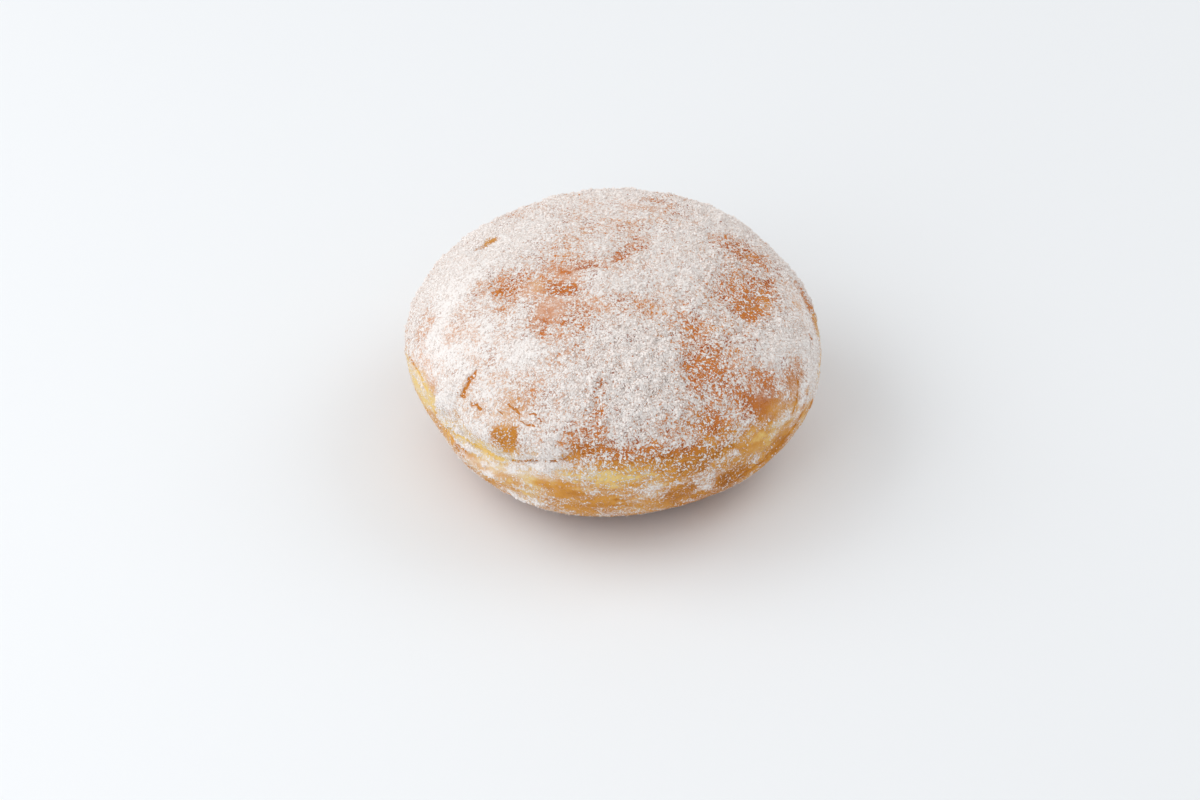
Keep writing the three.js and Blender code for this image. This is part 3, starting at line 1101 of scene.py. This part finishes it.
# %% Strew the grains and connect the shader
SPECKLE_BARE = 1.8
SPECKLE_LESS = 1.2
FLECK_CLEARS = 0.5
WHITE_EDGE = (0.48, 0.86)
BUMP_EDGE = (0.0, 1.4)
BUMP_FINE = 0.12
BUMP_STRENGTH = 0.7
BUMP_DEPTH = 0.3
CRUST_ROUGHNESS = 0.5
SUGAR_ROUGHER = 0.4
CRUST_SPECULAR = 0.15

strewn = sugar_depth + speckle * (SPECKLE_BARE - covered * SPECKLE_LESS) - flecks * FLECK_CLEARS
white_share = crust_finish.step(strewn, *WHITE_EDGE)
bump_height = crust_finish.step(strewn, *BUMP_EDGE) + fine * BUMP_FINE
bump_sockets = {"Strength": BUMP_STRENGTH, "Distance": BUMP_DEPTH * MM, "Height": bump_height}
crust_sockets = {
    "Base Color": crust_finish.mix(white_share, ground, SUGAR_WHITE),
    "Roughness": CRUST_ROUGHNESS + white_share * SUGAR_ROUGHER,
    "Normal": crust_finish.add("ShaderNodeBump", {}, bump_sockets),
    "Specular IOR Level": CRUST_SPECULAR,
}
crust_finish.fill(crust_finish.shader, crust_sockets)
crust_mesh.materials.clear()
crust_mesh.materials.append(crust_finish.material)
print("crust finish:", len(crust_finish.tree.nodes), "nodes")

# %% [markdown]
# ## Loose grains and crumbs of sugar
#
# Seen close, the sugar is no paint: single grains and small crumbs stand on the crust, catch the light and
# roughen the outline. A particle system could strew them too, steered by a vertex group. Drawing the spots
# here is as short, and it uses the layers as they are. A triangle is drawn by its area and its share of
# sugar, then a point within it.

# %% Draw the spots
crust_points = read(crust_mesh.vertices, "co") / MM
crust_outs = read(crust_mesh.vertex_normals, "vector")
corners = np.empty(3 * len(crust_mesh.polygons), np.int32)
crust_mesh.loops.foreach_get("vertex_index", corners)
corners = corners.reshape(-1, 3)
sides = crust_points[corners[:, 1:]] - crust_points[corners[:, :1]]
areas = np.linalg.norm(np.cross(sides[:, 0], sides[:, 1]), axis=1) / 2


def draw_spots(chance, count, density):
    """Spots on the crust, in millimetres, and the way out at each one."""
    weights = areas * density[corners].mean(axis=1)
    picked = corners[chance.choice(len(corners), count, p=weights / weights.sum())]
    first = np.sqrt(chance.random((count, 1)))
    second = chance.random((count, 1))
    shares = np.hstack([1.0 - first, first * (1.0 - second), first * second])[:, :, None]
    return (shares * crust_points[picked]).sum(axis=1), (shares * crust_outs[picked]).sum(axis=1)


print("crust area, cm2:", round(float(areas.sum()) / 100))

# %% [markdown]
# ## Many copies of one shape
#
# Thousands of grains as objects of their own would be slow. One small shape is made by an operator instead,
# and array sums turn it, stretch it and set it on all the spots at once, sunk a little into the crust. All
# the copies of a kind are one mesh.

# %% Copy a shape to the spots
STRETCH = (0.7, 1.3)


def turns_by_chance(chance, count):
    """Turning matrices, from random quaternions of length 1."""
    w, x, y, z = chance.normal(size=(4, count))
    length = np.sqrt(w * w + x * x + y * y + z * z)
    w, x, y, z = w / length, x / length, y / length, z / length
    rows = [
        [1 - 2 * (y * y + z * z), 2 * (x * y - w * z), 2 * (x * z + w * y)],
        [2 * (x * y + w * z), 1 - 2 * (x * x + z * z), 2 * (y * z - w * x)],
        [2 * (x * z - w * y), 2 * (y * z + w * x), 1 - 2 * (x * x + y * y)],
    ]
    return np.moveaxis(np.array(rows), 2, 0)


def sprinkle(name, shape, chance, count, density, radii, sunk):
    """One mesh of many copies of a small shape, each turned and stretched by chance."""
    spots, ways = draw_spots(chance, count, density)
    radius = chance.uniform(*radii, (count, 1))
    stretch = chance.uniform(*STRETCH, (count, 1, 3))
    corners_at = np.array([vertex.co for vertex in shape.verts])[None] * stretch * radius[:, :, None]
    turned = corners_at @ turns_by_chance(chance, count)
    points = turned + (spots + ways * radius * (1.0 - sunk))[:, None, :]
    shape_faces = np.array([[vertex.index for vertex in face.verts] for face in shape.faces])
    faces = shape_faces[None] + len(shape.verts) * np.arange(count)[:, None, None]
    mesh = bpy.data.meshes.new(name)
    mesh.from_pydata((points * MM).reshape(-1, 3), [], faces.reshape(-1, shape_faces.shape[1]))
    print(name, len(mesh.polygons), "faces")
    return put_in_scene(name, mesh)


print("stretch of a grain:", STRETCH)

# %% [markdown]
# ## Grains everywhere, crumbs where it is thick
#
# Fine grains lie wherever there is sugar, and a few even on bare crust. Crumbs lie only where the cover is
# thick, and both keep off the foot. A grain is a double pyramid with eight faces, a crumb a ball with
# twenty, which is enough at their size. The draws start from a fixed seed, so every run gives the same bun.

# %% Sprinkle grains and crumbs
CHANCE_SEED = 8
GRAINS = 23000
GRAIN_RADII = (0.07, 0.2)
GRAIN_SUNK = 0.5
BARE_GRAINS = 0.06
SMOOTH_GRAINS = 0.1
CRUMBS = 6000
CRUMB_RADII = (0.14, 0.34)
CRUMB_SUNK = 0.7
SMOOTH_CRUMBS = 0.25
CRUMB_EDGE = (0.45, 1.0)
OFF_FOOT = (1.0, 6.0)

chance = np.random.default_rng(CHANCE_SEED)
grain_shape = bmesh.new()
bmesh.ops.create_uvsphere(grain_shape, u_segments=4, v_segments=2, radius=1.0)
bmesh.ops.triangulate(grain_shape, faces=grain_shape.faces)
crumb_shape = bmesh.new()
bmesh.ops.create_icosphere(crumb_shape, subdivisions=1, radius=1.0)
above_foot = smooth_step(*OFF_FOOT, crust_points[:, 2])
grain_density = above_foot * at_least(BARE_GRAINS, cover**2) * at_least(SMOOTH_GRAINS, grain)
crumb_density = above_foot * smooth_step(*CRUMB_EDGE, cover) * at_least(SMOOTH_CRUMBS, grain)
grains = sprinkle("sugar_grains", grain_shape, chance, GRAINS, grain_density, GRAIN_RADII, GRAIN_SUNK)
crumbs = sprinkle("sugar_crumbs", crumb_shape, chance, CRUMBS, crumb_density, CRUMB_RADII, CRUMB_SUNK)
grain_shape.free()
crumb_shape.free()

# %% [markdown]
# ## The sugar's finish
#
# Fine sugar is white and dull, with a faint warmth from the crust that shines through. A slow noise between
# two whites keeps the grains from looking all alike. A translucent shader would be truer to a single
# crystal, but at this size it would cost time and hardly show.

# %% Make the sugar's finish
SUGAR_DIM = colour(236, 226, 220)
TONE_SPACING = 0.8
TONE_EDGE = (-0.15, 0.15)
SUGAR_ROUGHNESS = 0.7
SUGAR_SPECULAR = 0.3

sugar_finish = Finish("fine_sugar")
tone = sugar_finish.step(sugar_finish.bumps(TONE_SPACING), *TONE_EDGE)
sugar_sockets = {
    "Base Color": sugar_finish.mix(tone, SUGAR_DIM, SUGAR_WHITE),
    "Roughness": SUGAR_ROUGHNESS,
    "Specular IOR Level": SUGAR_SPECULAR,
}
sugar_finish.fill(sugar_finish.shader, sugar_sockets)
for piece in (grains, crumbs):
    piece.data.materials.append(sugar_finish.material)
print("sugar finish:", len(sugar_finish.tree.nodes), "nodes")

# %% [markdown]
# ## The floor
#
# The bun stands on a plain pale floor, far wider than the picture, so its edge is never seen. It is stage
# and not part of the bun.

# %% Lay the floor
FLOOR_SIZE = 4.0
FLOOR_COLOUR = colour(240, 243, 246)
FLOOR_ROUGHNESS = 0.6

floor_shape = bmesh.new()
bmesh.ops.create_grid(floor_shape, x_segments=1, y_segments=1, size=FLOOR_SIZE / 2)
floor_mesh = bpy.data.meshes.new("floor")
floor_shape.to_mesh(floor_mesh)
floor_shape.free()
floor = put_in_scene("floor", floor_mesh)
floor_finish = Finish("pale_floor")
floor_finish.fill(floor_finish.shader, {"Base Color": FLOOR_COLOUR, "Roughness": FLOOR_ROUGHNESS})
floor_mesh.materials.append(floor_finish.material)
print("floor width, m:", FLOOR_SIZE)

# %% [markdown]
# ## The light
#
# A white sky fills the shadows, and three soft lamps give the bun its form. The key lamp stands high on the
# left and a little behind, so the shadow falls mostly to the right. A second lamp at the front left lights
# the fold and the belly, and a third at the back right keeps the far rim from going dark. All are large, as
# a window is, because small lamps would draw hard shadows.

# %% Set the lamps and the sky
LAMPS = {
    "key": {"place": (-0.62, 0.12, 0.6), "size": 0.6, "power": 2.4},
    "front": {"place": (-0.5, -0.5, 0.5), "size": 0.6, "power": 1.8},
    "right": {"place": (0.6, 0.22, 0.66), "size": 0.6, "power": 1.5},
}
SKY_COLOUR = (1.0, 1.0, 1.0, 1.0)
SKY_STRENGTH = 0.6

for name, lamp in LAMPS.items():
    lamp_data = bpy.data.lights.new(name, "AREA")
    lamp_data.energy = lamp["power"]
    lamp_data.size = lamp["size"]
    lamp_object = put_in_scene(name, lamp_data)
    lamp_object.location = lamp["place"]
    lamp_object.rotation_euler = (-lamp_object.location).to_track_quat("-Z", "Y").to_euler()

world = bpy.data.worlds.new("studio")
world.use_nodes = True
sky = world.node_tree.nodes["Background"]
sky.inputs["Color"].default_value = SKY_COLOUR
sky.inputs["Strength"].default_value = SKY_STRENGTH
bpy.context.scene.world = world
bpy.context.scene.view_settings.view_transform = "Standard"
print("lamps:", list(LAMPS))

# %% [markdown]
# ## Hand the pieces to the frame
#
# The bun has one body, and every piece rides on it. The crust stands for the imported solid, which is then
# hidden.

for piece in (crust, grains, crumbs):
    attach(piece, "root")
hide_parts("bun")
